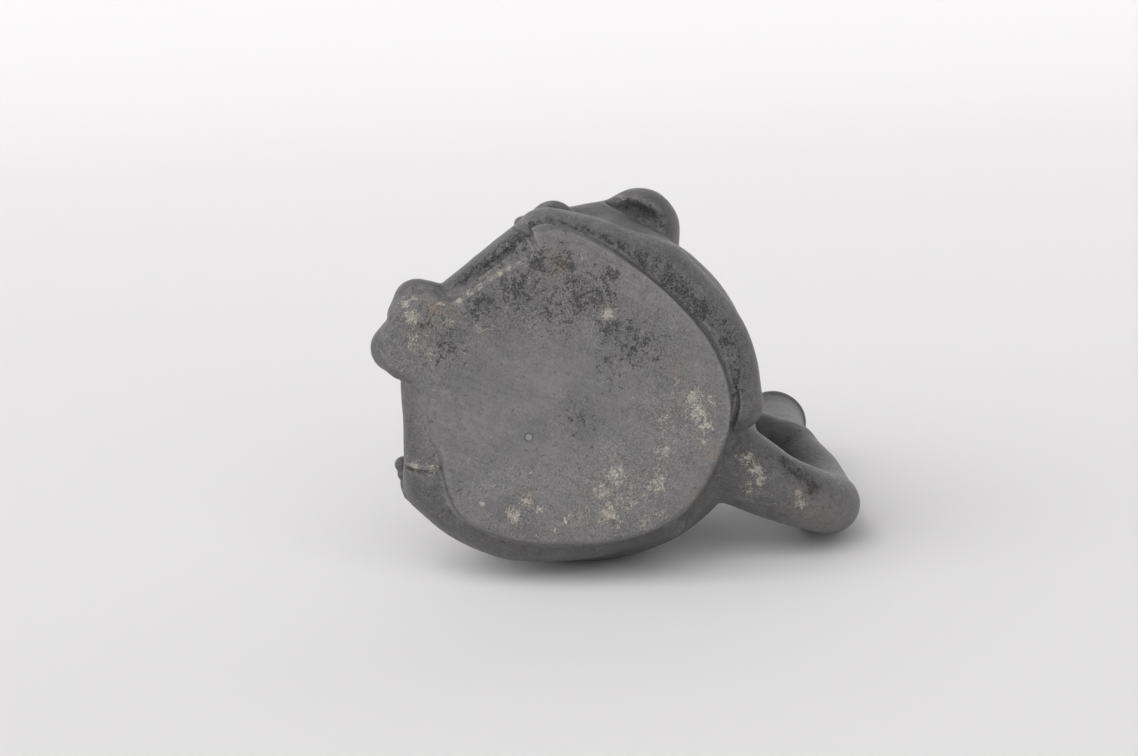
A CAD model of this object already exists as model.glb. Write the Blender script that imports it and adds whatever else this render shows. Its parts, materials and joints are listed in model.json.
# Stirrup spout bottle shaped as a seated figure, in burnished black fired clay.
# The clay is shaped in millimetres and turned into metres when the meshes are made.
import json
import math

import bpy
import numpy as np
from mathutils import Matrix, Vector


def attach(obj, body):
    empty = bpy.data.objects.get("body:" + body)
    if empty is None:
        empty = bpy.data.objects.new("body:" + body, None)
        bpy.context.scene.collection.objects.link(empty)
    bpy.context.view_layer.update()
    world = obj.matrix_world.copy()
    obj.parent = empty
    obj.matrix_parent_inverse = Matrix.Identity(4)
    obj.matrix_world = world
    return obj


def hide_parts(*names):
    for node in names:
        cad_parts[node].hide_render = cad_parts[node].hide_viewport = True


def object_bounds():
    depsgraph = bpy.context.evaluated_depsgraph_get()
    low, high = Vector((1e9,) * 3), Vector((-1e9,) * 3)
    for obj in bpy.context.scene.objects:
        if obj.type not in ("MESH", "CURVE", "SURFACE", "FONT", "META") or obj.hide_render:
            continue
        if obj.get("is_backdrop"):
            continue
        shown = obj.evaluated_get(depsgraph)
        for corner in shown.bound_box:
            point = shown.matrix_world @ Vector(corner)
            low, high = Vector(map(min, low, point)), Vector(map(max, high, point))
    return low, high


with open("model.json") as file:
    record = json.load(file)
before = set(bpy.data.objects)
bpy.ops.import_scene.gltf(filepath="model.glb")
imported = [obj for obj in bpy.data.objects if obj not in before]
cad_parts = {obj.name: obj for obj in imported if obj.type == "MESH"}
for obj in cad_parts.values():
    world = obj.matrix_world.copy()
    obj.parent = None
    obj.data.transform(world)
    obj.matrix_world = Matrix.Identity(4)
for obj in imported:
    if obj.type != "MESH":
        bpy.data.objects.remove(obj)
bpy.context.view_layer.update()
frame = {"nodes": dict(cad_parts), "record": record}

mm = 0.001
print("frame loaded with", len(frame["nodes"]), "nodes")


# Shaping tools. A shape is its distance function (negative inside the clay) with the
# corners of the box that holds it.

def smoothLine(points, steps):
    # evenly spaced points on a smooth line through the given ones
    points = np.array(points, float)
    ends = np.vstack([2 * points[0] - points[1], points, 2 * points[-1] - points[-2]])
    dense = [points[0]]
    for p0, p1, p2, p3 in zip(ends, ends[1:], ends[2:], ends[3:]):
        a, b, c = (np.linalg.norm(q - p) ** 0.5 for p, q in ((p0, p1), (p1, p2), (p2, p3)))
        leave = ((p1 - p0) / a - (p2 - p0) / (a + b) + (p2 - p1) / b) * b
        arrive = ((p2 - p1) / b - (p3 - p1) / (b + c) + (p3 - p2) / c) * b
        for t in np.linspace(0, 1, 13)[1:, None]:  # twelve steps for each span
            dense.append((2 * t ** 3 - 3 * t ** 2 + 1) * p1 + (t ** 3 - 2 * t ** 2 + t) * leave
                         + (3 * t ** 2 - 2 * t ** 3) * p2 + (t ** 3 - t ** 2) * arrive)
    dense = np.array([np.ravel(p) for p in dense])
    along = np.concatenate([[0], np.cumsum(np.linalg.norm(np.diff(dense, axis=0), axis=1))])
    places = np.linspace(0, along[-1], steps + 1)
    return np.stack([np.interp(places, along, column) for column in dense.T], axis=1)


def soften(a, b, width):
    # union of two distances with a fillet between them
    if width <= 0:
        return np.minimum(a, b)
    h = np.maximum(width - np.abs(a - b), 0) / width
    return np.minimum(a, b) - h * h * width / 4


def rise(value, start, width):
    # grows from 0 at the start to 1 at start + width
    return np.clip((value - start) / width, 0, 1)


def hill(value, middle, top, slope):
    # falls off on both sides of the middle
    return np.clip(top - np.abs(value - middle) / slope, 0, 1)


def roll(points, steps):
    # roll of clay along (x, y, z, radius) points
    line = smoothLine(points, steps)
    line, girth = line[:, :3], line[:, 3]

    def distance(x, y, z):
        best = None
        for a, b, ra, rb in zip(line, line[1:], girth, girth[1:]):
            d = b - a
            t = ((x - a[0]) * d[0] + (y - a[1]) * d[1] + (z - a[2]) * d[2]) / d.dot(d)
            t = np.clip(t, 0, 1)
            away = (x - a[0] - t * d[0]) ** 2 + (y - a[1] - t * d[1]) ** 2 + (z - a[2] - t * d[2]) ** 2
            here = np.sqrt(away) - (ra + (rb - ra) * t)
            best = here if best is None else np.minimum(best, here)
        return best
    most = girth.max()
    return distance, line.min(0) - most, line.max(0) + most


def lump(centre, radii):
    # stretched ball
    rx, ry, rz = radii

    def distance(x, y, z):
        u, v, w = x - centre[0], y - centre[1], z - centre[2]
        near = np.sqrt((u / rx) ** 2 + (v / ry) ** 2 + (w / rz) ** 2)
        slope = np.sqrt((u / rx ** 2) ** 2 + (v / ry ** 2) ** 2 + (w / rz ** 2) ** 2)
        return near * (near - 1) / np.maximum(slope, 1e-6)
    reach = max(radii)
    return distance, np.array(centre) - reach, np.array(centre) + reach


def turned(profile, share=(1, 1, 1), centre=(0, 0)):
    # turned form with [radius, height] points. The share squeezes its sides, back and front.
    line = smoothLine(profile, 60)
    slope = np.gradient(line[:, 0], line[:, 1])
    low, high = line[0, 1], line[-1, 1]

    def distance(x, y, z):
        u = (x - centre[0]) / share[0]
        v = y - centre[1]
        squeeze = np.where(v > 0, share[1], share[2])
        v = v / squeeze
        out = np.sqrt(u * u + v * v) + 1e-6
        radius = np.interp(z, line[:, 1], line[:, 0])
        lean = np.interp(z, line[:, 1], slope)
        grow = np.sqrt((u / share[0]) ** 2 + (v / squeeze) ** 2) / out
        wall = (out - radius) / np.sqrt(grow * grow + lean * lean)
        return np.maximum(wall, np.maximum(low - z, z - high))
    most = line[:, 0].max()
    return (distance, np.array([centre[0] - most * share[0], centre[1] - most * share[2], low]),
            np.array([centre[0] + most * share[0], centre[1] + most * share[1], high]))


def slab(outline, sizes):
    # flat slab on the ground. Its sides lean out with the height, more so beside the knees, and
    # its edge is worn round, but sharper at the right.
    line = smoothLine(list(outline) + [outline[0]], 110)[:-1]
    thickness, lean, kneeLean = sizes["thickness"], sizes["lean"], sizes["kneeLean"]
    sharpEdge, wornEdge = sizes["sharpEdge"], sizes["wornEdge"]

    def distance(x, y, z):
        near = None
        inside = None
        for a, b in zip(line, np.roll(line, -1, axis=0)):
            d = b - a
            t = np.clip(((x - a[0]) * d[0] + (y - a[1]) * d[1]) / d.dot(d), 0, 1)
            away = (x - a[0] - t * d[0]) ** 2 + (y - a[1] - t * d[1]) ** 2
            crossing = ((a[1] > y) != (b[1] > y)) & (x < a[0] + (y - a[1]) * d[0] / (d[1] or 1e-9))
            near = away if near is None else np.minimum(near, away)
            inside = crossing if inside is None else inside ^ crossing
        flat = np.where(inside, -1, 1) * np.sqrt(near)
        beside = rise(-y, *sizes["kneeY"]) * rise(np.abs(x), *sizes["kneeX"])
        slant = lean + (kneeLean - lean) * beside
        sharp = rise(x, *sizes["sharpX"]) * rise(y, *sizes["sharpY"])
        r = wornEdge + (sharpEdge - wornEdge) * sharp * sharp * (3 - 2 * sharp)
        flat = (flat - slant * z) / np.sqrt(1 + slant ** 2) + r
        deep = np.abs(z - thickness / 2) - thickness / 2 + r
        corner = np.sqrt(np.maximum(flat, 0) ** 2 + np.maximum(deep, 0) ** 2)
        return np.minimum(np.maximum(flat, deep), 0) + corner - r
    out = kneeLean * thickness
    return distance, np.array([*line.min(0) - out, 0]), np.array([*line.max(0) + out, thickness])


def ring(centre, radii, thickness):
    # level ring with its own radius along x and along y
    rx, ry = radii

    def distance(x, y, z):
        u, v = x - centre[0], y - centre[1]
        near = np.sqrt((u / rx) ** 2 + (v / ry) ** 2) + 1e-6
        slope = np.sqrt((u / rx ** 2) ** 2 + (v / ry ** 2) ** 2) + 1e-6
        flat = near * (near - 1) / slope
        return np.sqrt(flat ** 2 + (z - centre[2]) ** 2) - thickness
    reach = np.array([rx + thickness, ry + thickness, thickness])
    return distance, np.array(centre) - reach, np.array(centre) + reach


def without(shape, other, width):
    # the first shape with the other one pressed out of it
    def distance(x, y, z):
        return -soften(-shape[0](x, y, z), other[0](x, y, z), width)
    return distance, shape[1], shape[2]


def joined(shapes, width):
    # union of shapes with fillets of one width
    def distance(x, y, z):
        total = shapes[0][0](x, y, z)
        for shape in shapes[1:]:
            total = soften(total, shape[0](x, y, z), width)
        return total
    low = np.min([shape[1] for shape in shapes], axis=0)
    high = np.max([shape[2] for shape in shapes], axis=0)
    return distance, low, high


def onSide(side, points):
    # the points as they are on the right (1), or mirrored to the left (-1)
    return [(side * x, *rest) for x, *rest in points]


# The clay, in the order in which one piece takes its place before the next. A form holds
# the pieces that are moulded as one and parted afterwards.
forms = []


def addForm(pieces, shape, blend, parting=None):
    distance, low, high = shape
    forms.append({"pieces": pieces, "distance": distance, "low": low, "high": high,
                  "blend": blend, "parting": parting})


base = {
    "front": [(0, -71.4), (7, -71.8), (12.5, -68.5), (15.5, -62), (15.4, -55), (19, -48.5), (31, -40.5)],
    "right": [(43, -33), (51, -35), (57, -29), (58.5, -18), (56.5, 0), (50.5, 22), (39, 43.5),
              (22, 57.5), (0, 61.5)],
    "left": [(-36.5, -34.7), (-43, -30.8), (-49, -26.3), (-54, -21), (-57.3, -14), (-57.3, 0),
             (-50.8, 21.5), (-38.5, 43.2), (-22, 57.5)],
    "thickness": 6.5, "sharpEdge": 0.8, "wornEdge": 2.4, "sharpX": (2, 12), "sharpY": (-58, 12),
    "lean": 0.12, "kneeLean": 0.62, "kneeX": (8, 10), "kneeY": (28, 12), "blend": 3,
}


def shapeBase():
    left = onSide(-1, base["front"][1:]) + base["left"]
    outline = base["front"] + base["right"] + left[::-1]
    addForm(["base_pad"], slab(outline, base), base["blend"])


pot = {
    "profile": [(57, 6), (68, 21.5), (74, 43), (61, 75), (43.5, 90), (28, 99)],
    "share": (0.92, 1, 0.78), "centreY": 1.5, "blend": 4,
}


def shapePot():
    shape = turned(pot["profile"], pot["share"], (0, pot["centreY"]))

    def parting(x, y, z):
        return y - pot["centreY"]
    addForm(["chamber_front", "chamber_back"], shape, pot["blend"], parting)


# Limbs are rolled and bent by hand, so the left and the right ones differ a little
sides = {"left": -1, "right": 1}
legs = {
    "thigh": {
        "left": [(51, -31, 19, 12.7), (57, -14, 18.5, 11.5), (57.3, 0, 18, 11.1), (51.8, 15, 17.5, 10.8),
                 (44.2, 30.5, 17, 10.1), (35.5, 41, 16.5, 8.8), (30, 48, 16.3, 7.6)],
        "right": [(50.6, -30.2, 19.5, 11.9), (54.5, -17, 18.5, 11), (56, 0, 18, 10.9), (56.8, 14, 18, 11.4),
                  (49.8, 32, 18, 11.2), (38.6, 48, 18, 11.2), (22.2, 61.2, 19, 10.4)],
    },
    "shin": {
        "left": [(45, -35, 15.5, 11.2), (31, -42, 14.5, 10.5), (17.5, -49.5, 13.5, 9.5)],
        "right": [(45.4, -33.2, 15.5, 11.2), (31.8, -41.9, 14.5, 10.6), (17.8, -50.2, 13.5, 9.7)],
    },
    "foot": {
        "left": [(11, -52, 12.5, 9), (10.2, -58.5, 12, 9.1), (9, -65.8, 11, 8.9)],
        "right": [(11.8, -52, 12.5, 9), (11.4, -58, 12, 9.1), (10, -64.6, 11, 9)],
    },
    "ball": (4.4, -65, 9.5), "ballRadii": (8.2, 8.4, 7.4), "ballBlend": 1.5,
    "thighEnd": (-27.4, 54.2, 16), "endRadii": (7.6, 8, 8.4), "endBlend": 1.2,
    "blend": {
        "thigh": {"left": 4, "right": 3.5},
        "shin": {"left": 3, "right": 1.2},
        "foot": {"left": 1.2, "right": 1.2},
    },
}


def shapeLegs():
    for name, widths in legs["blend"].items():
        for label, side in sides.items():
            shape = roll(onSide(side, legs[name][label]), 30)
            if name == "foot":
                x, y, z = legs["ball"]
                shape = joined([shape, lump((side * x, y, z), legs["ballRadii"])], legs["ballBlend"])
            if name == "thigh" and label == "left":
                shape = joined([shape, lump(legs["thighEnd"], legs["endRadii"])], legs["endBlend"])
            addForm([f"{name}_{label}"], shape, widths[label])


arms = {
    "left": [(43, 8, 87, 12.5), (52.5, 9, 78, 12.5), (60.3, 2, 64.5, 13),
             (58, -9, 54, 10), (56.5, -19, 46.5, 8.7), (55, -28, 40.5, 8)],
    "right": [(44, 8, 87, 12.5), (57, 9.5, 78, 12.5), (67.2, 3.4, 64.5, 13.2),
              (62.5, -7, 54, 10.2), (58.5, -17, 47, 8.9), (55, -25.5, 41.5, 8)],
    "elbow": 2,  # the elbow's place in each of these lists
    "scoop": (1.6, -3, -13.6), "scoopRadii": (6.3, 13, 5.6), "scoopBlend": 3, "blend": 4,
}
hands = {
    "left": (56.2, -34.5, 32.5), "right": (55, -29.5, 35.5), "palmRadii": (9.5, 9.4, 7),
    "finger": [(-0.5, -3, 1.5, 3.2), (0.5, -6, -0.5, 3.1), (0.3, -7.3, -4.5, 2.8)],
    "fingers": 4, "fingerGap": (3.042, 2.34), "fingerBlend": 1, "blend": 1.6,
}


def scoopPlace(label):
    # middle of the hollow under an elbow
    elbow = arms[label][arms["elbow"]]
    x, y, z = (elbow[axis] + arms["scoop"][axis] for axis in range(3))
    return sides[label] * x, y, z


def shapeArms():
    for label, side in sides.items():
        arm = roll(onSide(side, arms[label]), 60)
        scoop = lump(scoopPlace(label), arms["scoopRadii"])
        addForm([f"arm_{label}"], without(arm, scoop, arms["scoopBlend"]), arms["blend"])
    gapX, gapY = hands["fingerGap"]
    for label, side in sides.items():
        px, py, pz = hands[label]
        shapes = [lump((side * px, py, pz), hands["palmRadii"])]
        for index in range(hands["fingers"]):
            place = index - (hands["fingers"] - 1) / 2
            rootX, rootY = px + place * gapX, py + place * gapY
            path = [(rootX + x, rootY + y, pz + z, r) for x, y, z, r in hands["finger"]]
            shapes.append(roll(onSide(side, path), 10))
        addForm([f"hand_{label}"], joined(shapes, hands["fingerBlend"]), hands["blend"])


stirrup = {
    "lower": [(0, 60, 30, 16.5), (-1.1, 75, 30, 15), (-2.6, 89.5, 30.5, 12.8), (-2.5, 103.5, 34.5, 11.9),
              (-2.9, 113.5, 46.8, 11.9), (-4.5, 115.3, 61.9, 11.8), (-4, 114.3, 80, 11.8),
              (-1, 108, 98.9, 11.8), (0, 100.5, 114, 11.8)],
    "upper": [(0, 38, 82, 15), (0, 49, 95, 14), (0, 62, 107, 12.2), (0, 76, 114, 11.8),
              (0, 89, 116, 11.8), (0, 100.5, 114, 11.8)],
    "blend": 3.5,
}
spout = {
    "profile": [(12, 111), (11, 126), (10.8, 146), (11.6, 166), (13.4, 181.6)],
    "centre": (0, 100.5), "heelHeight": 111, "heelRadius": 12, "heelBlend": 1,
    "lipRadius": 12.7, "lipThick": 1.8, "lipHeight": 182.7, "blend": 4, "lipBlend": 0.4,
}


def shapeStirrup():
    x, y = spout["centre"]
    post = turned(spout["profile"], centre=(x, y))
    heel = lump((x, y, spout["heelHeight"]), (spout["heelRadius"],) * 3)
    addForm(["spout"], joined([post, heel], spout["heelBlend"]), spout["blend"])
    lip = ring((x, y, spout["lipHeight"]), (spout["lipRadius"],) * 2, spout["lipThick"])
    addForm(["rim_lip"], lip, spout["lipBlend"])

    def parting(x, y, z):
        return x
    for name in "lower", "upper":
        shape = roll(stirrup[name], 90)
        addForm([f"stirrup_{name}_left", f"stirrup_{name}_right"], shape, stirrup["blend"], parting)


head = {
    "centreY": -4, "skull": (0, -4, 131), "skullRadii": (30.6, 32.2, 29.8),
    "jaw": (0, -4, 118), "jawRadii": (29.6, 30.6, 21), "neck": [(26.3, 92), (26.3, 106), (22.3, 118)],
    "softBlend": 6, "crispBlend": 0.8, "blend": 4,
    "browHeight": 139, "bandRadii": (28.4, 29.8), "bandThick": 4, "bandBlend": 1,
}
# The right half of the face, with y measured from the front of the skull
face = {
    "chin": (0, 7, 107), "chinRadii": (9, 7.5, 6),
    "cheek": (14, 9, 119), "cheekRadii": (10, 7.5, 9),
    "nose": [(0, 4, 133.5, 2.6), (0, 1, 125, 3.2), (0, -1, 121.5, 4.2)],
    "nostril": (4, 1.5, 120.5), "nostrilRadii": (3, 4, 2.6),
    "brow": [(5, 3.4, 135, 1.4), (11, 4.8, 136.5, 1.6), (18, 9.5, 134.6, 1.2)],
    "eye": (11.2, 4.4, 130.5), "eyeRadii": (5.2, 3.8, 2.6),
    "lids": [[(5.2, 1.3, 129.7, 0.7), (8.2, 0.9, 132.7, 1), (12.6, 2, 133.1, 1), (17.4, 5, 130.1, 0.7)],
             [(5.2, 1.3, 129.7, 0.6), (8.6, 1.4, 127.9, 0.8), (12.6, 2.5, 127.9, 0.8),
              (17.4, 5, 130.1, 0.6)]],
    "lips": [[(8.5, 3.6, 114, 0.7), (4, 2, 115.5, 1.4), (0, 1.4, 115.35, 1.7)],
             [(8.5, 3.6, 114, 0.7), (4, 2, 112.3, 1.7), (0, 1.4, 112.47, 2)]],
}


def shapeHead():
    y = head["centreY"]
    front = y - head["skullRadii"][1]

    def onFace(side, points):
        return [(side * x, front + depth, *rest) for x, depth, *rest in points]

    def swelling(name, side=1):
        return lump(onFace(side, [face[name]])[0], face[name + "Radii"])

    def parting(x, y, z):
        return y - head["centreY"]
    soft = [lump(head["skull"], head["skullRadii"]), lump(head["jaw"], head["jawRadii"])]
    soft += [turned(head["neck"], centre=(0, y)), swelling("chin")]
    soft += [swelling("cheek", side) for side in sides.values()]
    parts = [joined(soft, head["softBlend"]), roll(onFace(1, face["nose"]), 8)]
    for side in sides.values():
        parts += [swelling("nostril", side), roll(onFace(side, face["brow"]), 10), swelling("eye", side)]
        parts += [roll(onFace(side, lid), 12) for lid in face["lids"]]
    for lip in face["lips"]:
        parts.append(roll(onFace(-1, lip[:-1]) + onFace(1, lip[::-1]), 14))
    addForm(["head_front", "head_back", "cap"], joined(parts, head["crispBlend"]), head["blend"], parting)
    band = ring((0, y, head["browHeight"]), head["bandRadii"], head["bandThick"])
    addForm(["headband"], band, head["bandBlend"])


ears = {
    "disc": (34.6, -3, 124), "discRadii": (2.4, 8.3, 8.3), "stem": (31.6, -3, 124), "stemRadii": (4, 6, 6),
    "fold": [(30.6, -5, 116, 2.5), (32.2, 4, 120, 2.9), (32.2, 5, 129, 2.9), (30.6, -3, 132, 2.5)],
    "blend": 1,
}


def shapeEars():
    for label, side in sides.items():
        disc, stem = onSide(side, [ears["disc"], ears["stem"]])
        spool = joined([lump(disc, ears["discRadii"]), lump(stem, ears["stemRadii"])], ears["blend"])
        addForm([f"ear_spool_{label}"], spool, ears["blend"])
    for label, side in sides.items():
        addForm([f"ear_{label}"], roll(onSide(side, ears["fold"]), 14), ears["blend"])


shapeBase()
shapePot()
shapeLegs()
shapeArms()
shapeStirrup()
shapeHead()
shapeEars()

# every piece has a number, and 0 is air
pieceNames = [""]
formOf = {}
for rank, form in enumerate(forms):
    form["first"] = len(pieceNames)
    for name in form["pieces"]:
        formOf[len(pieceNames)] = rank
        pieceNames.append(name)
print("shaped", len(forms), "forms for", len(pieceNames) - 1, "pieces")


# The hollows: the inside of the chamber and the head, and the bores of the stirrup and spout
hollow = {
    "wall": 6, "floor": (57, 5), "top": (28, 104), "skull": (0, -4, 129), "skullRadii": (25.6, 27.2, 26),
    "neck": [(0, -2, 90, 21), (0, -4, 112, 21)], "bore": 7,
    "spout": [(0, 100.5, 112, 7), (0, 100.5, 150, 7.2), (0, 100.5, 172, 8.2), (0, 100.5, 190, 10.6)],
}


def inset(shape, depth):
    # the shape made smaller all round
    distance, low, high = shape
    return (lambda x, y, z: distance(x, y, z) + depth), low, high


def boreAlong(path, steps):
    return roll([(*place[:3], hollow["bore"]) for place in path], steps)


chamber = turned([hollow["floor"], *pot["profile"], hollow["top"]], pot["share"], (0, pot["centreY"]))
hollows = [
    inset(chamber, hollow["wall"]), lump(hollow["skull"], hollow["skullRadii"]), roll(hollow["neck"], 2),
    boreAlong(stirrup["lower"], 40), boreAlong(stirrup["upper"], 30), roll(hollow["spout"], 16),
]
# Lengths used for the meshes in mm, and shares of the spacing of their points
meshing = {
    "spacing": 1.2, "filletReach": 9, "markReach": 2, "farAway": 50.0, "uneven": 2, "probe": 0.1,
    "normalProbe": 0.35, "margins": (2.37, 2.5), "leap": 0.7, "evening": 0.5,
}


# Creases pressed into the clay and ridges raised on it, as (x, y, z, radius) on its surface
marks = {
    "knee ridge": [(-47.6, -44.6, 10.6, 0.3), (-46.5, -41.3, 6.2, 0.8), (-46, -39, 4.9, 0.9),
                   (-44.4, -35.2, 3.4, 0.8), (-42.4, -32.6, 1.2, 0.4)],
    "knee crease": [(-48.8, -44, 11, 0.4), (-47.6, -40.4, 6.2, 0.8), (-47, -38, 4.7, 0.9),
                    (-45.4, -34.2, 3, 0.8), (-43.2, -31.6, 1, 0.4)],
    "shin crease": [(50.6, -42.7, 12.4, 1), (51.5, -39.8, 8.8, 1.4), (51, -37.1, 4.8, 1.5),
                    (48.2, -33.8, 0.6, 1.1), (44.9, -32, 0, 0.5)],
    "shin ridge": [(53.2, -41.6, 15.5, 0.6), (53.6, -40, 12.6, 1), (54, -38.2, 9.4, 1)],
    "shin groove": [(23, -52.6, 5.2, 0.5), (30.8, -48, 5.7, 1.2), (37.1, -44.4, 5.6, 1.4),
                    (43, -41.3, 5.7, 1.3), (47.5, -39.4, 6, 0.7)],
    "shin line ridge": [(17.2, -52, 0.9, 0.4), (22.4, -48.5, 3, 0.7), (29.8, -43.7, 3.1, 0.8),
                        (36.8, -38.8, 3, 0.7), (43, -34.3, 1.6, 0.4)],
    "toe crease": [(12.6, -72.1, 5.2, 0.5), (14.9, -71.2, 6.1, 0.8), (16.6, -69.4, 5.9, 0.5)],
    "sole crease": [(6.4, -70.9, 0.6, 0.6), (9.8, -69.6, 0.7, 1), (13.4, -68, 1.2, 1.1),
                    (16, -65.6, 2.7, 0.7)],
    "left sole crease": [(-8.6, -72.6, 4.3, 0.7), (-10.1, -70.8, 1, 1), (-11.7, -68.2, 0.2, 0.9),
                         (-12.9, -65.3, 0, 0.4)],
    "thigh crease": [(29.6, 56.6, 8.8, 0.4), (24.9, 59.5, 9.5, 0.6), (19.4, 61.2, 10, 0.7),
                     (13, 62.3, 13.1, 0.7), (10.2, 67.6, 17.9, 0.5)],
    "end crease": [(-32.4, 57.4, 9.8, 0.6), (-30.1, 58.9, 9.5, 1), (-27, 58.8, 8.8, 0.6)],
    "upper end crease": [(-31.4, 61.2, 13, 0.6), (-28.4, 62.5, 14.1, 1), (-25.6, 62.1, 13.3, 0.6)],
}
# The lines between the toes: share of x, y, share of the curve, z and radius of each point
toes = {
    "lines": 4, "first": 3.4, "apart": 3.2, "curve": 0.05,
    "line": [(1, -75, 4, 12, 0.4), (1, -73.6, 5, 14.6, 0.8), (1.02, -70.5, 5, 17.6, 0.8),
             (1.03, -66, 0, 20.2, 0.4)],
}
for label, side in sides.items():
    for index in range(toes["lines"]):
        x = side * (toes["first"] + toes["apart"] * index)
        curve = toes["curve"] * index ** 2
        marks[f"{label} toe line {index}"] = [
            (x * wide, y + curve * share, z, r) for wide, y, share, z, r in toes["line"]]
markRolls = []
for name, points in marks.items():
    distance, low, high = roll(points, 12)
    reach = meshing["markReach"]
    markRolls.append((distance, low - reach, high + reach, "ridge" in name))


markBlend = {"raised": 1.2, "pressed": 1}


def pressed(total, d, raised):
    # clay distance after a mark is pressed in or raised
    if raised:
        return soften(total, d, markBlend["raised"])
    return -soften(-total, d, markBlend["pressed"])


# Clay shaped by hand is never quite even: long and short waves, each with a length and a height in
# mm. On the base they only make dents, so that it still stands flat.
handWork = {
    "seed": 7, "waves": 12, "long": (42, 0.4), "short": (13, 0.1), "spread": (0.7, 1.5),
    "baseHeight": 6, "baseDents": (0.12, 0.15),
}
rng = np.random.default_rng(handWork["seed"])


def makeWaves(count, length, height):
    # waves that run in all ways, with their starts and the height of each
    way = rng.normal(size=(count, 3))
    way /= np.linalg.norm(way, axis=1)[:, None]
    size = length * rng.uniform(*handWork["spread"], count)
    return way * (2 * math.pi / size)[:, None], rng.uniform(0, 2 * math.pi, count), height / count ** 0.5


waves = [makeWaves(handWork["waves"], *handWork[name]) for name in ("long", "short")]


def unevenness(x, y, z):
    total = 0
    for ways, starts, height in waves:
        for way, start in zip(ways, starts):
            total = total + height * np.sin(x * way[0] + y * way[1] + z * way[2] + start)
    above = rise(z, 0, handWork["baseHeight"])
    least, share = handWork["baseDents"]
    return total * above + (1 - above) * (least + share * np.abs(total))


def clayDistance(p):
    # distance of loose points to the clay surface, with all fillets and hollows
    x, y, z = p.T
    reach = meshing["filletReach"]
    total = np.full(len(p), meshing["farAway"])
    for form in forms:
        near = ((p > form["low"] - reach) & (p < form["high"] + reach)).all(axis=1)
        if near.any():
            d = form["distance"](x[near], y[near], z[near])
            total[near] = soften(total[near], d, form["blend"])
    total = total + unevenness(x, y, z)
    for distance, low, high, raised in markRolls:
        near = ((p > low) & (p < high)).all(axis=1)
        if near.any():
            total[near] = pressed(total[near], distance(x[near], y[near], z[near]), raised)
    for distance, low, high in hollows:
        near = ((p > low - reach) & (p < high + reach)).all(axis=1)
        if near.any():
            total[near] = np.maximum(total[near], -distance(x[near], y[near], z[near]))
    return total


def pieceNumber(form, x, y, z):
    # which piece of a form a place belongs to. The head has three, the third above the brow.
    if not form["parting"]:
        return form["first"]
    number = form["first"] + (form["parting"](x, y, z) > 0)
    if len(form["pieces"]) == 3:
        number = np.where(z > head["browHeight"], form["first"] + 2, number)
    return number


def jointDistance(p, a, b):
    # signed distance to the joint between pieces a and b, where a comes first
    x, y, z = p.T
    first, second = forms[formOf[a]], forms[formOf[b]]
    if first is not second:
        return first["distance"](x, y, z) - np.maximum(second["distance"](x, y, z), 0)
    if b == first["first"] + 2:
        return z - head["browHeight"]
    return first["parting"](x, y, z)


def slopeOf(function, p, h, here=None):
    # gradient from both sides, or from one side where the value at p is known
    out = np.empty_like(p)
    for axis in range(3):
        step = np.zeros(3)
        step[axis] = h
        if here is None:
            out[:, axis] = (function(p + step) - function(p - step)) / (2 * h)
        else:
            out[:, axis] = (function(p + step) - here) / h
    return out


def window(axes, low, high, margin):
    # part of a grid that a shape can reach
    starts = [np.searchsorted(axes[a], low[a] - margin) for a in range(3)]
    stops = [np.searchsorted(axes[a], high[a] + margin) for a in range(3)]
    return tuple(slice(start, stop) for start, stop in zip(starts, stops))


def sampleBlock(axes):
    # which piece holds each sample of a grid
    x, y, z = axes[0][:, None, None], axes[1][None, :, None], axes[2][None, None, :]
    shape = [len(a) for a in axes]
    total = np.full(shape, meshing["farAway"], np.float32)
    best = total.copy()
    owner = np.zeros(shape, np.int16)
    for form in forms:
        here = window(axes, form["low"], form["high"], meshing["filletReach"])
        if total[here].size == 0:
            continue
        xs, ys, zs = x[here[0]], y[:, here[1]], z[:, :, here[2]]
        d = form["distance"](xs, ys, zs)
        d = np.broadcast_to(d, total[here].shape)
        total[here] = soften(total[here], d, form["blend"])
        takes = best[here] >= np.maximum(d, 0)
        owner[here] = np.where(takes, pieceNumber(form, xs, ys, zs), owner[here])
        best[here] = np.where(takes, d, best[here])
    near = np.nonzero(np.abs(total) < meshing["uneven"])
    total[near] += unevenness(*(axes[a][near[a]] for a in range(3)))
    for distance, low, high, raised in [*markRolls, *((*shape, None) for shape in hollows)]:
        here = window(axes, low, high, meshing["markReach"])
        if total[here].size == 0:
            continue
        d = distance(x[here[0]], y[:, here[1]], z[:, :, here[2]])
        total[here] = np.maximum(total[here], -d) if raised is None else pressed(total[here], d, raised)
    bare = (total < 0) & (owner == 0)
    owner[total >= 0] = 0
    if bare.any():  # raised clay belongs to the piece next to it
        for _ in range(2):
            for axis in range(3):
                for shift in -1, 1:
                    beside = np.roll(owner, shift, axis)
                    owner = np.where(bare & (owner == 0), beside, owner)
    return owner


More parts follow.
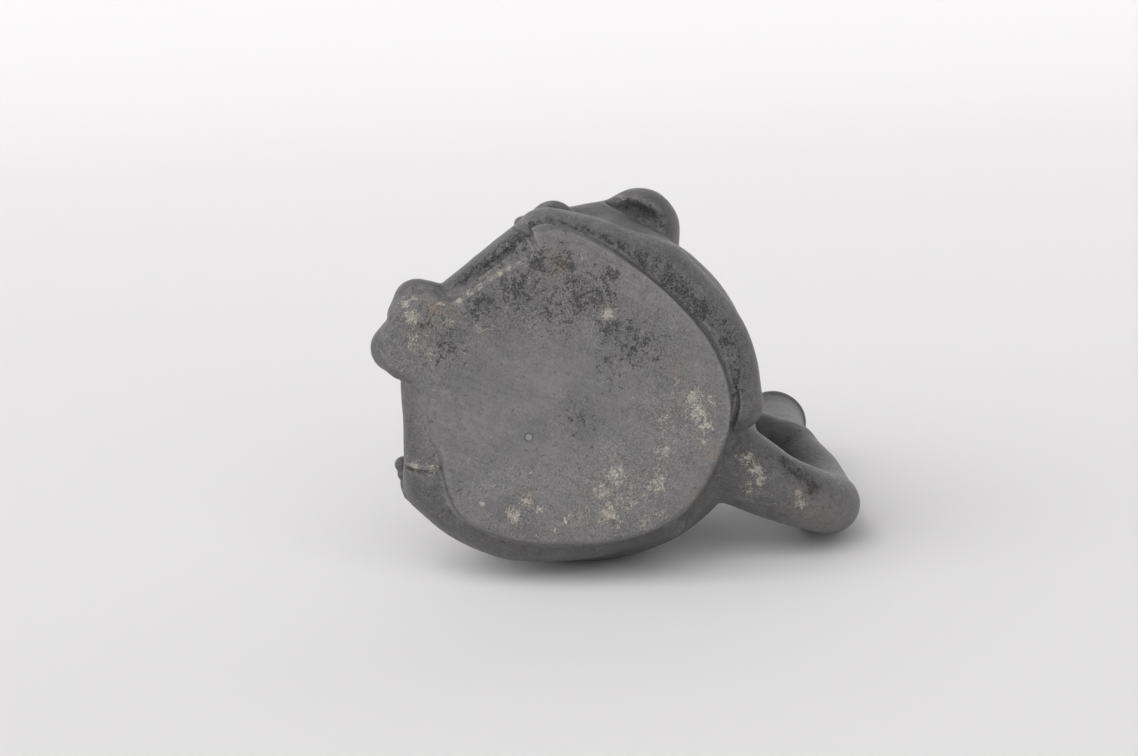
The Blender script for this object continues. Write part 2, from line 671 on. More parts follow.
def settle(p, first, second, skin, step, rounds):
    # moves the mesh points onto the clay surface and onto the joints between pieces
    start = p
    probe = meshing["probe"]
    pairs = {}
    joint = first != second
    for a, b in set(zip(first[joint].tolist(), second[joint].tolist())):
        pairs[a, b] = np.nonzero((first == a) & (second == b))[0]
    for _ in range(rounds):
        fix = np.zeros((len(p), 2))
        rows = np.zeros((len(p), 2, 3))
        fix[skin, 0] = clayDistance(p[skin])
        rows[skin, 0] = slopeOf(clayDistance, p[skin], probe, fix[skin, 0])
        for (a, b), members in pairs.items():
            fix[members, 1] = jointDistance(p[members], a, b)
            rows[members, 1] = slopeOf(lambda q: jointDistance(q, a, b), p[members], probe, fix[members, 1])
        square = rows @ rows.transpose(0, 2, 1) + np.eye(2) * 1e-3  # solvable without a joint too
        move = -(rows.transpose(0, 2, 1) @ np.linalg.solve(square, fix[:, :, None]))[:, :, 0]
        length = np.linalg.norm(move, axis=1)
        p = p + move * np.minimum(1, step * meshing["leap"] / np.maximum(length, 1e-9))[:, None]
        p = start + np.clip(p - start, -step, step)
    return p


def buildRegion(low, high, step):
    # meshes of all pieces in a box, which meet along their joints. The margin is an odd one, so
    # that no flat face falls on a row of samples.
    before, after = (share * step for share in meshing["margins"])
    axes = [np.arange(low[a] - before, high[a] + after, step) for a in range(3)]
    owner = sampleBlock(axes)
    n = np.array(owner.shape)
    corners = [owner[i:n[0] - 1 + i, j:n[1] - 1 + j, k:n[2] - 1 + k]
               for i in (0, 1) for j in (0, 1) for k in (0, 1)]
    least = np.minimum.reduce(corners)
    most = np.maximum.reduce(corners)
    mixed = least != most
    second = most[mixed]
    big = len(pieceNames)
    first = np.minimum.reduce([np.where(c == 0, big, c) for c in corners])[mixed]
    skin = least[mixed] == 0
    index = np.full(mixed.shape, -1)
    index[mixed] = np.arange(mixed.sum())
    cells = np.argwhere(mixed)
    p = np.stack([axes[a][cells[:, a]] + step / 2 for a in range(3)], axis=1)
    faces, inner, outer = [], [], []
    for axis in range(3):
        u, v = (axis + 1) % 3, (axis + 2) % 3
        a = np.moveaxis(owner, (axis, u, v), (0, 1, 2))
        cell = np.moveaxis(index, (axis, u, v), (0, 1, 2))
        one, two = a[:-1, 1:-1, 1:-1], a[1:, 1:-1, 1:-1]
        i, j, k = np.nonzero(one != two)
        around = cell[i, j, k], cell[i, j + 1, k], cell[i, j + 1, k + 1], cell[i, j, k + 1]
        quad = np.stack(around, axis=1)
        faces += [quad, quad[:, ::-1]]
        inner += [one[i, j, k], two[i, j, k]]
        outer += [two[i, j, k], one[i, j, k]]
    faces, inner, outer = np.vstack(faces), np.concatenate(inner), np.concatenate(outer)
    p = settle(p, first, second, skin, step, 3)
    free = skin & (first == second)
    edges = np.vstack([faces[:, [column, (column + 1) % 4]] for column in range(4)])
    edges = edges[(outer == 0)[np.tile(np.arange(len(faces)), 4)]]
    for _ in range(2):  # even out the mesh
        total = np.zeros_like(p)
        count = np.zeros(len(p))
        for column in 0, 1:
            for axis in range(3):
                total[:, axis] += np.bincount(edges[:, column], p[edges[:, 1 - column], axis], len(p))
            count += np.bincount(edges[:, column], minlength=len(p))
        move = free & (count > 0)
        p[move] += meshing["evening"] * (total[move] / count[move, None] - p[move])
        p[free] = settle(p[free], first[free], second[free], skin[free], step, 1)
    normals = np.zeros_like(p)
    normals[skin] = slopeOf(clayDistance, p[skin], meshing["normalProbe"])
    normals /= np.maximum(np.linalg.norm(normals, axis=1), 1e-9)[:, None]
    return p, normals, skin, faces, inner, outer


# Places along the line of earth at the foot of the right shin
shinLine = [(22.4, -48.3, 3.4), (26, -46, 3.4), (29.8, -43.5, 3.5), (33.4, -41, 3.5)]


def spotsAlong(places, size, strength):
    # spots of one size and strength
    return [(*place, size, strength) for place in places]


# Wear and earth on the clay: places on the base as (x, y) or elsewhere as (x, y, z), each with its
# size and how strong it is
wear = {
    "crust": [
        (6, -64, 4.5, 0.9), (3.5, -56.4, 3, 0.5), (10.4, -50.7, 3, 0.7), (12.2, -39.9, 3, 0.8),
        (2.7, -41.6, 3, 0.6), (-4.3, -52.4, 2.5, 0.6), (-13.8, -60.6, 2, 0.8), (12.3, -58, 3, 0.5),
        (-48.1, -12.7, 1.1, 1.7), (-40.1, 1.6, 3, 0.9), (-47.7, -0.3, 3.6, 1.1), (-41.5, 7.6, 2, 0.8),
        (-18.3, 27.9, 5, 0.8), (-26.2, 25.9, 4.5, 0.9), (-26.4, 35, 5, 0.6), (-32.3, 31.4, 5, 0.9),
        (-34.9, 36.7, 3, 0.6), (20.5, 43, 4, 1), (16, 47, 4.5, 1), (12.5, 51.5, 3.5, 0.9), (22, 49, 3, 0.7),
        (-3, 41, 3.5, 0.8), (-9, 42, 3, 0.6), (-30, 46, 3, 0.8), (-25, 50.5, 2.5, 0.8), (6.5, 53.5, 1, 1.5),
        (41.7, -21, 2.5, 0.6), (50.6, -15.5, 3, 0.5), (36.3, 1.6, 3, 0.7), (-46.4, 16.1, 1, 1.2),
        (-51.9, 10.9, 1.2, 1), (-29.9, -0.8, 1.2, 1), (-14, 44, 5, 0.7), (-38, 22, 5, 0.6), (8, 36, 4, 0.6),
        (24, 36, 3, 0.6), (-2, -60, 4, 0.6),
        (4.6, 72.9, 16, 4, 0.9), (2.5, 77.6, 15.6, 4, 0.9), (-0.4, 80.5, 15.6, 3.5, 0.9),
        (-5.5, 78.7, 16.1, 3.5, 0.8), (8.9, 109.2, 34.6, 3.5, 0.8), (8.5, 113, 47, 3.5, 0.8),
        (7.3, 116.4, 61.4, 3.5, 0.8), (-3.1, 99.6, 19.5, 3, 0.8), (-0.2, 96.1, 18.7, 2.5, 0.8),
        (-46.5, -41.1, 6.2, 2.2, 1.2), (-44.4, -34.9, 3.6, 2.2, 1.2), (9.8, -68.8, 0.2, 2, 1.4),
        (13.3, -67.2, 0.5, 2, 1.4), (73.9, -9.5, 54.9, 3, 0.8), (14.9, -57, 0.3, 2, 0.9),
        (18.5, -51, 1.8, 1.8, 0.9), *spotsAlong(shinLine, 1.8, 0.9), (36.8, -38.5, 3.4, 1.8, 0.8),
        (40.5, -36, 2.6, 1.8, 0.7),
    ],
    "veil": [
        (-39, -11.3, 6, 0.9), (-32.8, -5.1, 5, 0.9), (-10.8, 22.6, 6, 0.8), (-34.3, 10.8, 7, 0.6),
        (-23.4, 6.7, 5, 0.5), (36.3, 1.6, 4, 0.9), (27, -2, 5, 0.6), (-20, 40, 9, 0.6), (5, 44, 8, 0.5),
        (-47, -18, 6, 0.5), (18, -51, 1, 2.4, 1), *spotsAlong(shinLine, 2.4, 1), (36.8, -38.5, 3.4, 2.4, 1),
        (40.5, -36, 2.4, 2.4, 0.9), (-35.6, -35.3, 0.3, 2.4, 0.7), (-45.1, -28.8, 0.2, 2.4, 0.7),
        (-53.8, -20.2, 0.2, 2.4, 0.7),
    ],
    "rust": [
        (12.3, -58, 3, 1), (16, -53, 3, 0.6), (-14, 59, 2, 1), (4, 58, 2.5, 0.7), (-26.2, 25.9, 3, 0.7),
        (-40.1, 1.6, 3, 0.5), (45, -24, 4, 0.5), (27, 33, 2.5, 0.6), (-32.3, 31.4, 4, 0.5),
        (-3.1, 99.6, 19.5, 6, 0.4), (-4.3, 107.2, 22.9, 6, 0.4), (-6.2, 115.6, 30.2, 6, 0.4),
    ],
    "flake": [
        (20.8, -43.7, 8, 0.8), (43.3, -30.4, 6, 0.9), (46.5, -21.6, 6, 0.9), (31.3, -33, 9, 0.8),
        (49.7, -4.3, 4, 0.9), (31.7, 4.4, 7, 0.8), (29, -18.3, 10, 0.6), (29.9, 15.7, 9, 0.7),
        (39.7, -3.6, 8, 0.7), (1.2, -48.2, 8, 0.6), (-4, 7.8, 8, 0.4), (38, -12, 10, 0.7), (20, 10, 8, 0.4),
        (5, -60, 9, 0.5), (-48, -25, 6, 0.4), (8.8, 87.4, 22.2, 4, 1.1), (7.7, 90.7, 22.1, 4, 1.1),
        (6.8, 94.5, 22.4, 4, 1.1), (4.8, 100.5, 22.2, 4, 1.1),
    ],
    "soot": [
        (29.9, 13, 10, 1), (40, -26, 9, 0.7), (-4, 7.8, 9, 0.8), (-13.8, -6.5, 6, 0.4), (22, -42, 9, 0.9),
        (30, 25, 8, 0.6), (-45, -3, 9, 0.3), (32, -28, 10, 0.9), (38, -8, 10, 0.9), (36, 5, 9, 0.8),
        (10, -46, 9, 0.8), (0, -36, 9, 0.6), (16, -28, 10, 0.6), (24, -8, 10, 0.6), (-52, 5, 7, 0.6),
        (-52, 25, 7, 0.6), (-41, 41, 8, 0.7), (-24, 55, 7, 0.7), (-4, 61, 6, 0.6),
    ],
    "grit": [
        (-22, 36, 24, 0.9), (10, 44, 20, 0.9), (32, 22, 16, 0.6), (38, -8, 18, 0.8), (22, -36, 18, 0.8),
        (0, -58, 18, 0.9), (-46, 5, 16, 0.8), (-38, -15, 12, 0.6),
    ],
}


def spotWeight(p, spots):
    # how strongly the spots cover each mesh point. One without a height keeps to the base.
    total = np.zeros(len(p))
    for x, y, *height, size, strength in spots:
        deep = p[:, 2] - height[0] if height else p[:, 2] * 2
        away = ((p[:, 0] - x) ** 2 + (p[:, 1] - y) ** 2 + deep ** 2) / size ** 2
        total = np.maximum(total, strength * np.exp(-away))
    return total


# Wear that follows the shape, as strengths and as sizes in mm. A pair is where the wear starts
# along an axis and how far it takes to grow, unless the line says what else it holds.
worn = {
    "grooveDepth": 3.5, "ridgeDepth": 1.8, "ridgeTop": 90, "ridgeAbove": 0.3,
    "matteFacing": (1.6, 0.4), "matteFade": (1.6, 4),  # slope and cut, top and fall
    "bandHeight": 7, "bandRise": (10, 3),  # fall and most
    "bandX": (12, 12), "bandY": (-44, 14),
    "bandRows": [(0, 1.5, 1.6, 0.85), (-4.5, 1.3, 1, 0.6)],  # lift, top, slope and strength
    "bandPatches": (0.75, 0.3, 3.1, 7.3),  # least, added, short and long wave
    "pocket": 0.5, "pocketSize": 130, "pocketLong": 1.4,
    "shin": 0.7, "shinX": (15, 10), "shinY": (30, 6),
    "shinHill": (7, 1.2, 4), "crestHill": (17, 1.4, 6),  # middle, top and slope
    "grit": 0.5, "gritZ": (-40, 20), "gritFloor": (0, 3),
    "clean": 0.75, "cleanZ": (45, 50), "loopY": (70, 8), "loopZ": (88, 12),
    "loopFade": (1.6, 9, 0.3),  # top, fall and least
    "spoutY": 60, "spoutZ": (140, 20), "spoutDust": 0.9, "leftClean": 0.32, "leftX": (20, 15),
    "apex": 0.7, "apexY": 116, "apexLong": 13, "apexZ": (12, 10), "crest": 0.9, "crestX": (20, 15),
}


def paintWeights(p, normals):
    # where the clay is hollow, ridged, matte or dirty, as numbers on the mesh points
    x, y, z = p.T
    weights = {}
    deep, proud = worn["grooveDepth"], worn["ridgeDepth"]
    weights["groove"] = np.clip(1 - clayDistance(p + normals * deep) / deep, 0, 1)
    weights["ridge"] = np.clip(1 + clayDistance(p - normals * proud) / proud, 0, 1)
    weights["ridge"] *= np.where(z > worn["ridgeTop"], worn["ridgeAbove"], 1)
    slope, cut = worn["matteFacing"]
    top, fall = worn["matteFade"]
    weights["matte"] = np.clip(-normals[:, 2] * slope - cut, 0, 1) * np.clip(top - z / fall, 0, 1)
    for label, spots in wear.items():
        weights[label] = spotWeight(p, spots)

    def add(label, strength):
        weights[label] = np.maximum(weights[label], strength)
    # the band between the base and the right thigh is flaked all along, in two rows
    fall, most = worn["bandRise"]
    middle = worn["bandHeight"] + np.clip(-y / fall, 0, most)
    band = sum(share * hill(z, middle + lift, top, slope) for lift, top, slope, share in worn["bandRows"])
    least, added, short, long = worn["bandPatches"]
    band = band * (least + added * np.sin(y / short + 1) * np.sin(y / long))
    add("flake", band * rise(x, *worn["bandX"]) * rise(y, *worn["bandY"]))
    add("grit", worn["grit"] * rise(-z, *worn["gritZ"]) * rise(z, *worn["gritFloor"]))
    for label in sides:
        px, py, pz = scoopPlace(label)
        away = (x - px) ** 2 + ((y - py) / worn["pocketLong"]) ** 2 + (z - pz) ** 2
        add("flake", worn["pocket"] * np.exp(-(away / worn["pocketSize"]) ** 2))
    onShin = hill(z, *worn["shinHill"]) * rise(x, *worn["shinX"]) * rise(-y, *worn["shinY"])
    add("flake", worn["shin"] * onShin)
    # little wear high on the bottle, inside the stirrup and on the left
    top, fall, least = worn["loopFade"]
    inLoop = rise(y, *worn["loopY"]) * rise(z, *worn["loopZ"]) * np.clip(top - x / fall, least, 1)
    weights["clean"] = np.maximum(worn["clean"] * rise(z, *worn["cleanZ"]), inLoop)
    weights["clean"] *= 1 - worn["spoutDust"] * rise(z, *worn["spoutZ"]) * (y > worn["spoutY"])
    add("clean", worn["leftClean"] * rise(-x, *worn["leftX"]))
    atApex = np.exp(-((y - worn["apexY"]) / worn["apexLong"]) ** 2)
    weights["apex"] = worn["apex"] * atApex * rise(z, *worn["apexZ"])
    add("apex", worn["crest"] * rise(x, *worn["crestX"]) * hill(z, *worn["crestHill"]))
    return weights


def makeMesh(name, number, region, paints):
    # one piece of a region, with its own normals and painted numbers
    p, normals, skin, faces, inner, outer = region
    mine = inner == number
    quads = faces[mine]
    onSkin = outer[mine] == 0
    used, flat = np.unique(quads, return_inverse=True)
    quads = flat.reshape(-1, 4)
    mesh = bpy.data.meshes.new(name)
    mesh.vertices.add(len(used))
    mesh.vertices.foreach_set("co", (p[used] * mm).ravel())
    mesh.loops.add(quads.size)
    mesh.loops.foreach_set("vertex_index", quads.ravel())
    mesh.polygons.add(len(quads))
    mesh.polygons.foreach_set("loop_start", np.arange(0, quads.size, 4))
    mesh.update(calc_edges=True)
    mesh.shade_smooth()
    for label, values in paints.items():
        layer = mesh.attributes.new(label, "FLOAT", "POINT")
        layer.data.foreach_set("value", values[used].astype(np.float32))
    corners = p[used][quads]
    flatNormals = np.cross(corners[:, 2] - corners[:, 0], corners[:, 3] - corners[:, 1])
    flatNormals /= np.maximum(np.linalg.norm(flatNormals, axis=1), 1e-9)[:, None]
    loops = np.where(onSkin[:, None, None], normals[used][quads], flatNormals[:, None, :])
    mesh.normals_split_custom_set(loops.reshape(-1, 3))
    piece = bpy.data.objects.new(name, mesh)
    bpy.context.collection.objects.link(piece)
    return piece


slotOf = {row["node"]: row["material_slot"] for row in frame["record"]["subparts"]}
fineGroups = [  # pieces that need points closer together than the rest, with the spacing in mm
    (0.7, ["head_front", "head_back", "cap", "headband",
           "ear_left", "ear_right", "ear_spool_left", "ear_spool_right"]),
    (0.8, ["base_pad", "thigh_left", "thigh_right", "shin_left", "shin_right"]),
    (0.6, ["foot_left", "foot_right"]), (0.7, ["hand_left"]), (0.7, ["hand_right"]),
]


def boxOf(group):
    # corners of the box that holds the forms
    return np.min([form["low"] for form in group], axis=0), np.max([form["high"] for form in group], axis=0)


def buildPieces():
    made = {}
    fine = [name for _, names in fineGroups for name in names]
    rest = [name for name in pieceNames[1:] if name not in fine]
    regions = [(*boxOf(forms), meshing["spacing"], rest)]
    for step, names in fineGroups:
        group = [form for form in forms if form["pieces"][0] in names]
        regions.append((*boxOf(group), step, names))
    for low, high, step, names in regions:
        region = buildRegion(low, high, step)
        p, normals, skin = region[:3]
        paints = {label: np.where(skin, values, 0) for label, values in paintWeights(p, normals).items()}
        for name in names:
            piece = makeMesh(name + "_clay", pieceNames.index(name), region, paints)
            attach(piece, "root")
            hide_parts(name)
            made[name] = piece
        print("region of", len(names), "pieces,", len(p), "points")
    return made


pieces = buildPieces()


# Finishes: one fired clay, burnished to a half gloss or left matte, with flakes, streaks and earth.
# In between(), the two numbers are where a pattern starts to show and where it is full.
looks = {
    "burnished_clay": {
        "dark": (0.062, 0.06, 0.063), "mid": (0.122, 0.118, 0.121), "rough": 0.27, "streak": 0.14,
    },
    "tube_clay": {
        "dark": (0.045, 0.044, 0.046), "mid": (0.132, 0.128, 0.131), "rough": 0.26, "streak": 0.14,
    },
    "base_clay": {
        "dark": (0.05, 0.049, 0.053), "mid": (0.135, 0.131, 0.136), "rough": 0.36, "streak": 0.08,
        "stamp": (-18, -6.9, 0), "scratch": ((-39.6, 16.3, 0), (-44.1, 20.6, 0)),
    },
}
earth = {
    "pale": (0.55, 0.52, 0.46), "rust": (0.25, 0.165, 0.11), "veil": (0.27, 0.268, 0.275),
    "flake": (0.016, 0.016, 0.018), "crumb": (0.05, 0.049, 0.051), "clean": (0.016, 0.016, 0.018),
    "warm": (0.16, 0.154, 0.153), "cool": (0.136, 0.133, 0.137), "edge": (0.21, 0.204, 0.202),
}
# How strongly each kind of wear and earth covers the clay
cover = {
    "matte": 0.95, "groove": 0.45, "ridge": 0.5, "dust": 0.18, "stain": 0.6, "flake": 0.85, "chip": 0.8,
    "veil": 0.6, "crust": 0.75, "dots": 0.6, "rust": 0.7, "apex": 0.5,
    "stampRim": 0.4, "stamp": 0.55, "scratch": 0.75,
}
# Each pattern in the clay: how often it repeats in a millimetre, its detail and its roughness
patterns = {
    "wander": (0.6, 4.0, 0.6), "cloud": (0.035, 3.0, 0.55), "patch": (0.11, 4.0, 0.6),
    "mottle": (0.35, 6.0, 0.65), "grain": (2.6, 3.0, 0.65), "rubbed": (1.0, 4.0, 0.6),
    "fine": (1.1, 5.0, 0.75), "tiny": (2.0, 2.0, 0.6), "flake": (0.42, 3.0, 0.6),
    "smallFlake": (1.5, 5.0, 0.75), "stain": (0.9, 5.0, 0.7), "veil": (0.9, 5.0, 0.75),
    "lace": (0.5, 5.0, 0.65), "smallLace": (1.6, 5.0, 0.75), "dust": (2.4, 2.0, 0.7),
    "rust": (0.7, 4.0, 0.55), "worn": (0.5, 5.0, 0.65),
}


def makeClay(name, look):
    material = bpy.data.materials.new(name)
    material.use_nodes = True
    nodes, links = material.node_tree.nodes, material.node_tree.links
    shader = nodes["Principled BSDF"]

    def feed(socket, value):
        if isinstance(value, bpy.types.NodeSocket):
            links.new(value, socket)
        elif isinstance(value, tuple):
            socket.default_value = (*value, 1) if len(socket.default_value) == 4 else value
        else:
            socket.default_value = value

    def add(kind, inputs, out=0, **settings):
        # a node with its settings made and its inputs fed
        node = nodes.new("ShaderNode" + kind)
        for name, value in settings.items():
            setattr(node, name, value)
        for name, value in inputs.items():
            feed(node.inputs[name], value)
        return node.outputs[out]

    def maths(kind, a, b=0.0, clamp=False):
        return add("Math", {0: a, 1: b}, operation=kind, use_clamp=clamp)

    def times(a, b):
        return maths("MULTIPLY", a, b)

    def larger(a, b):
        return maths("MAXIMUM", a, b)

    def oneMinus(value):
        return maths("SUBTRACT", 1.0, value)

    def plus(*terms):
        # sum of (value, weight) pairs
        total = None
        for value, weight in terms:
            part = times(value, weight)
            total = part if total is None else maths("ADD", total, part)
        return total

    def vector(kind, a, b=(0.0, 0.0, 0.0), out=0):
        return add("VectorMath", {0: a, 1: b}, out, operation=kind)

    def scaled(colour, factor):
        return add("VectorMath", {0: colour, "Scale": factor}, operation="SCALE")

    def noise(place, name, out="Fac"):
        scale, detail, rough = patterns[name]
        return add("TexNoise", {"Vector": place, "Scale": scale, "Detail": detail, "Roughness": rough}, out)

    def between(value, low, high):
        inputs = {"Value": value, "From Min": low, "From Max": high}
        return add("MapRange", inputs, "Result", interpolation_type="SMOOTHSTEP")

    def blend(amount, a, b):
        return add("Mix", {"Factor": amount, 6: a, 7: b}, 2, data_type="RGBA")

    def painted(label):
        return add("Attribute", {}, "Fac", attribute_name=label)

    spot = vector("MULTIPLY", nodes.new("ShaderNodeTexCoord").outputs["Object"], (1000.0,) * 3)
    wander = vector("SUBTRACT", noise(spot, "wander", "Color"), (0.5,) * 3)
    loose = vector("ADD", spot, vector("MULTIPLY", wander, (5.0,) * 3))
    groove, ridge, matte = painted("groove"), painted("ridge"), painted("matte")
    flake, grit, crust, veil = painted("flake"), painted("grit"), painted("crust"), painted("veil")
    cloud = noise(spot, "cloud")
    patch = noise(loose, "patch")
    mottle = noise(loose, "mottle")
    grain = noise(spot, "grain")
    rubbed = noise(vector("MULTIPLY", spot, (0.5, 0.09, 0.9)), "rubbed")
    fine = between(noise(spot, "fine"), 0.38, 0.62)
    tiny = between(noise(spot, "tiny"), 0.36, 0.64)
    specks = plus((fine, 0.55), (tiny, 0.45))
    rough = maths("MAXIMUM", larger(flake, grit), larger(crust, veil), clamp=True)
    # tone of the clay, which is blacker and cleaner high on the bottle
    tone = plus((between(cloud, 0.3, 0.7), 0.35), (between(patch, 0.3, 0.7), 0.25),
                (between(mottle, 0.3, 0.7), 0.2), (between(rubbed, 0.3, 0.7), 0.2))
    colour = blend(tone, look["dark"], look["mid"])
    colour = blend(painted("clean"), colour, earth["clean"])
    bare = blend(between(plus((patch, 0.6), (cloud, 0.4)), 0.4, 0.6), earth["cool"], earth["warm"])
    colour = blend(times(matte, cover["matte"]), colour, bare)
    colour = blend(times(between(groove, 0.3, 1.0), cover["groove"]), colour, earth["flake"])
    colour = blend(times(between(ridge, 0.1, 0.5), cover["ridge"]), colour, earth["edge"])
    uneven = plus((specks, 0.26), (between(mottle, 0.3, 0.7), 0.24), (between(rubbed, 0.35, 0.65), 0.14),
                  (times(specks, rough), 1.05), (rough, -0.53))
    colour = scaled(colour, maths("ADD", uneven, 0.7))
    dusty = times(between(grain, 0.45, 0.65), cover["dust"])
    colour = blend(dusty, colour, earth["veil"])
    # dark flakes and soot
    flaky = plus((noise(loose, "flake"), 0.45), (noise(spot, "smallFlake"), 0.55), (flake, 0.14),
                 (cloud, 0.04))
    flakes = between(flaky, 0.625, 0.65)
    sooty = between(plus((mottle, 0.5), (noise(spot, "stain"), 0.5)), 0.42, 0.58)
    stain = times(larger(painted("soot"), times(flake, 0.35)), sooty)
    colour = blend(times(stain, cover["stain"]), colour, earth["crumb"])
    chip = blend(times(matte, cover["chip"]), earth["flake"], earth["crumb"])
    colour = blend(times(flakes, cover["flake"]), colour, chip)
    # pale veil, crust and specks of earth
    veiled = times(veil, between(noise(loose, "veil"), 0.44, 0.58))
    colour = blend(times(veiled, cover["veil"]), colour, earth["veil"])
    lacy = plus((noise(loose, "lace"), 0.5), (noise(spot, "smallLace"), 0.5), (crust, 0.185), (veil, 0.06),
                (grit, 0.035), (between(groove, 0.3, 0.8), 0.02))
    pale = between(lacy, 0.605, 0.68)
    dots = nodes.new("ShaderNodeTexVoronoi")
    feed(dots.inputs["Vector"], vector("ADD", spot, vector("MULTIPLY", wander, (0.7,) * 3)))
    feed(dots.inputs["Scale"], 0.4)
    chosen = maths("GREATER_THAN", plus((dots.outputs["Color"], 1.0), (rough, 0.35)), 0.86)
    dotted = times(chosen, oneMinus(between(dots.outputs["Distance"], 0.06, 0.16)))
    dust = times(between(noise(spot, "dust"), 0.6, 0.7), maths("ADD", times(grit, 0.75), 0.06))
    light = larger(larger(times(pale, cover["crust"]), dust), times(dotted, cover["dots"]))
    colour = blend(light, colour, scaled(earth["pale"], plus((specks, 0.6), (mottle, 0.9))))
    brown = times(painted("rust"), between(noise(loose, "rust"), 0.4, 0.62))
    colour = blend(times(brown, cover["rust"]), colour, earth["rust"])
    scuffed = times(painted("apex"), between(noise(loose, "worn"), 0.4, 0.7))
    colour = blend(times(scuffed, cover["apex"]), colour, earth["veil"])
    relief = plus((rubbed, look["streak"]), (mottle, 0.28), (specks, 0.08), (grain, 0.08), (flakes, -0.2),
                  (light, 0.15), (patch, 0.6), (times(specks, rough), 0.1))
    if "stamp" in look:  # a small round stamp and a scratch on the base
        away = vector("DISTANCE", spot, look["stamp"], 1)
        rim = times(between(away, 1.25, 1.45), oneMinus(between(away, 1.55, 1.85)))
        middle = oneMinus(between(away, 1.2, 1.4))
        start, end = (Vector(place) for place in look["scratch"])
        line = end - start
        fromStart = vector("SUBTRACT", spot, tuple(start))
        along = vector("DOT_PRODUCT", fromStart, tuple(line), 1)
        share = maths("DIVIDE", along, line.length_squared, clamp=True)
        beside = vector("DISTANCE", fromStart, scaled(tuple(line), share), 1)
        belly = maths("SINE", times(share, math.pi))
        ragged = plus((beside, 1.0), (fine, 0.6), (mottle, 0.8), (belly, -0.85))
        scratch = oneMinus(between(ragged, 0.32, 0.5))
        colour = blend(times(rim, cover["stampRim"]), colour, look["dark"])
        colour = blend(times(middle, cover["stamp"]), colour, earth["veil"])
        colour = blend(times(scratch, cover["scratch"]), colour, earth["pale"])
        relief = maths("ADD", relief, plus((rim, -0.3), (middle, 0.12), (scratch, -0.3)))
    links.new(colour, shader.inputs["Base Color"])
    gloss = plus((between(mottle, 0.25, 0.8), 0.14), (matte, 0.3), (larger(flakes, light), 0.2), (dusty, 0.5))
    links.new(maths("ADD", gloss, look["rough"], clamp=True), shader.inputs["Roughness"])
    bump = nodes.new("ShaderNodeBump")  # the relief is in millimetres
    bump.inputs["Strength"].default_value = 1
    bump.inputs["Distance"].default_value = mm
    links.new(relief, bump.inputs["Height"])
    links.new(bump.outputs["Normal"], shader.inputs["Normal"])
    return material


clays = {name: makeClay(name, look) for name, look in looks.items()}
for name, piece in pieces.items():
    piece.data.materials.append(clays[slotOf[name]])
print("made", len(clays), "clays")


# Camera at the photograph's angle: the bottle lies on its side with its base to the viewer
view = {
    "right": Vector((0.4023, 0.9155, 0)), "up": Vector((0.9045, -0.3975, 0.1544)),
    "place": Vector((0.1425, -0.0612, -0.9373)), "lens": 81.14, "clipEnd": 20,
}


def makeCamera():
    data = bpy.data.cameras.new("camera")
    data.lens = view["lens"]
    data.clip_end = view["clipEnd"]
    camera = bpy.data.objects.new("camera", data)
    right = view["right"].normalized()
    up = (view["up"] - right * view["up"].dot(right)).normalized()
    back = right.cross(up)
    camera.matrix_world = Matrix((
        (right.x, up.x, back.x, view["place"].x),
        (right.y, up.y, back.y, view["place"].y),
        (right.z, up.z, back.z, view["place"].z),
        (0, 0, 0, 1),
    ))
    bpy.context.collection.objects.link(camera)
    bpy.context.scene.camera = camera
    return right, up, back


right, up, back = makeCamera()

# The bottle lies still on the floor of the studio, so the floor is tilted in the frame of the
# upright bottle. The paper bends up behind it. Lengths are in metres, "start" is the first guess of
# how the bottle lies, in degrees, and "weight" is the centre of its weight.
room = {
    "start": (8, -5), "weight": Vector((0.0004, 0.0142, 0.0578)), "paper": (0.8, 0.79, 0.79), "rough": 0.9,
    "near": 2.5, "flat": 0.4, "far": 1.1, "bend": 1, "top": 3, "half": 5,
}
# How the resting place is searched: angles in degrees, and how many low points each of them keeps
search = {"lifts": range(-4, 25, 4), "tilts": range(-13, 4, 4), "kept": 1500, "first": 2, "last": 0.02}


def upward(lift, tilt):
    # the way up from the floor, lifted towards the viewer and tilted to the right
    way = up * math.cos(lift) + back * math.sin(lift)
    return (way * math.cos(tilt) + right * math.sin(tilt)).normalized()


def findRest():
    # the bottle rolls on the floor until its weight is lowest
    points = np.array([v.co for piece in pieces.values() for v in piece.data.vertices])
    lows = [np.argsort(points @ np.array(upward(math.radians(lift), math.radians(tilt))))[:search["kept"]]
            for lift in search["lifts"] for tilt in search["tilts"]]
    cloud = points[np.unique(np.concatenate(lows))]

    def height(place):
        way = np.array(upward(*place))
        return way @ np.array(room["weight"]) - (cloud @ way).min()
    place = tuple(math.radians(angle) for angle in room["start"])
    step = math.radians(search["first"])
    while step > math.radians(search["last"]):
        tries = [(place[0] + a * step, place[1] + b * step) for a in (0, -1, 1) for b in (0, -1, 1)]
        best = min(tries, key=height)
        if best == place:
            step /= 2
        place = best
    way = upward(*place)
    lowest = float((points @ np.array(way)).min())
    print("rests at", [round(math.degrees(angle), 1) for angle in place], "floor at", round(lowest, 4))
    return way, lowest


level, lowest = findRest()
toViewer = (back - level * back.dot(level)).normalized()
across = toViewer.cross(level)


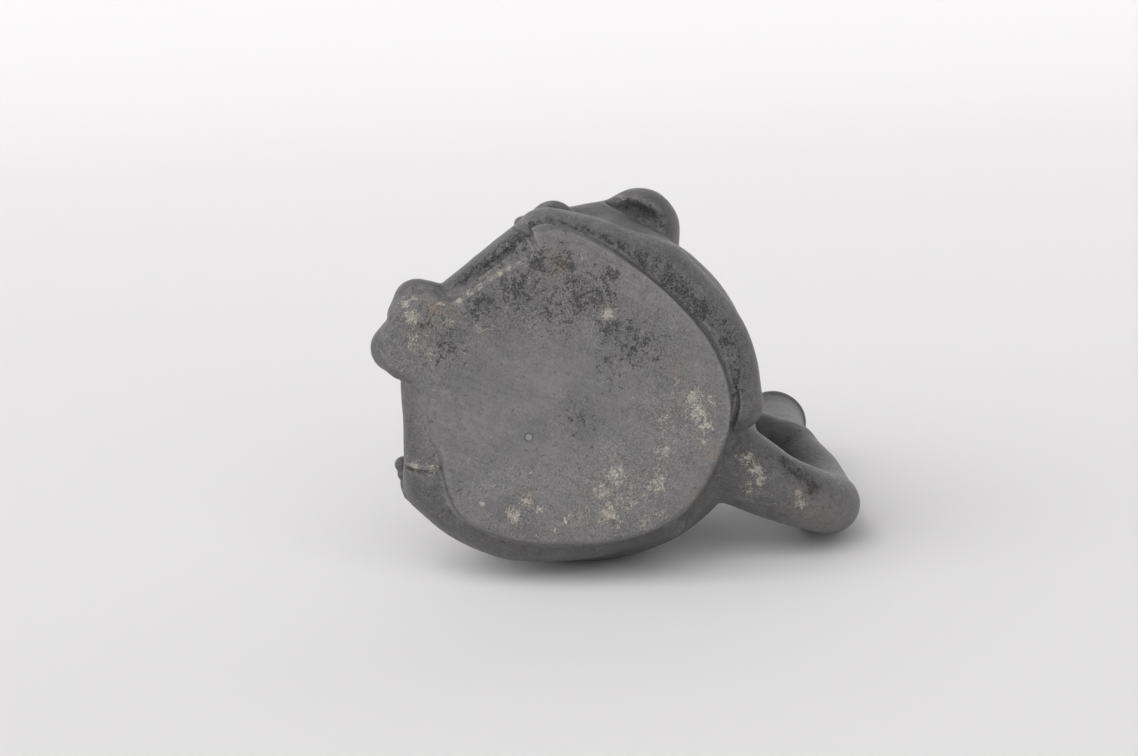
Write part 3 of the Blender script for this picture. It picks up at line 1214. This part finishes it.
def makeFloor():
    centre = level * lowest
    line = [(room["near"], 0), (room["flat"], 0), (-room["flat"], 0), (-room["far"], 0)]
    for angle in range(6, 91, 6):  # a quarter turn up to the wall
        turn = math.radians(angle)
        line.append((-room["far"] - room["bend"] * math.sin(turn), room["bend"] * (1 - math.cos(turn))))
    line.append((line[-1][0], room["top"]))
    corners = [centre + toViewer * depth + level * height + across * side * room["half"]
               for depth, height in line for side in (-1, 1)]
    faces = [(2 * i, 2 * i + 1, 2 * i + 3, 2 * i + 2) for i in range(len(line) - 1)]
    mesh = bpy.data.meshes.new("floor")
    mesh.from_pydata(corners, [], faces)
    if mesh.polygons[0].normal.dot(level) < 0:
        mesh.flip_normals()
    mesh.shade_smooth()
    floor = bpy.data.objects.new("floor", mesh)
    bpy.context.collection.objects.link(floor)
    material = bpy.data.materials.new("paper")
    material.use_nodes = True
    nodes, links = material.node_tree.nodes, material.node_tree.links
    shader = nodes["Principled BSDF"]
    shader.inputs["Base Color"].default_value = (*room["paper"], 1)
    shader.inputs["Roughness"].default_value = room["rough"]
    # from behind, the paper doesn't hide the bottle
    clear = nodes.new("ShaderNodeBsdfTransparent")
    mix = nodes.new("ShaderNodeMixShader")
    side = nodes.new("ShaderNodeNewGeometry")
    links.new(side.outputs["Backfacing"], mix.inputs["Fac"])
    links.new(shader.outputs["BSDF"], mix.inputs[1])
    links.new(clear.outputs["BSDF"], mix.inputs[2])
    links.new(mix.outputs["Shader"], nodes["Material Output"].inputs["Surface"])
    mesh.materials.append(material)
    floor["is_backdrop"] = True


makeFloor()

lamps = {
    "key": {"from": (0.8, 1, 0.7), "strength": 1.78, "angle": 60},
    "front": {"from": (-0.15, 0.6, 1), "strength": 1.48, "angle": 70},
    "side": {"from": (1, 0.4, -0.2), "strength": 0.45, "angle": 50},
}
sky = {"colour": (0.84, 0.83, 0.84), "strength": 0.2}


def makeLamps():
    for name, lamp in lamps.items():
        data = bpy.data.lights.new(name, "SUN")
        data.energy = lamp["strength"]
        data.angle = math.radians(lamp["angle"])
        light = bpy.data.objects.new(name, data)
        a, b, c = lamp["from"]
        way = across * a + level * b + toViewer * c
        light.matrix_world = way.to_track_quat("Z", "Y").to_matrix().to_4x4()
        bpy.context.collection.objects.link(light)
    world = bpy.data.worlds.new("studio")
    world.use_nodes = True
    background = world.node_tree.nodes["Background"]
    background.inputs["Color"].default_value = (*sky["colour"], 1)
    background.inputs["Strength"].default_value = sky["strength"]
    bpy.context.scene.world = world


makeLamps()
print("studio set with", len(lamps), "lamps")
bpy.context.scene.view_settings.view_transform = "Standard"

low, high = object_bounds()
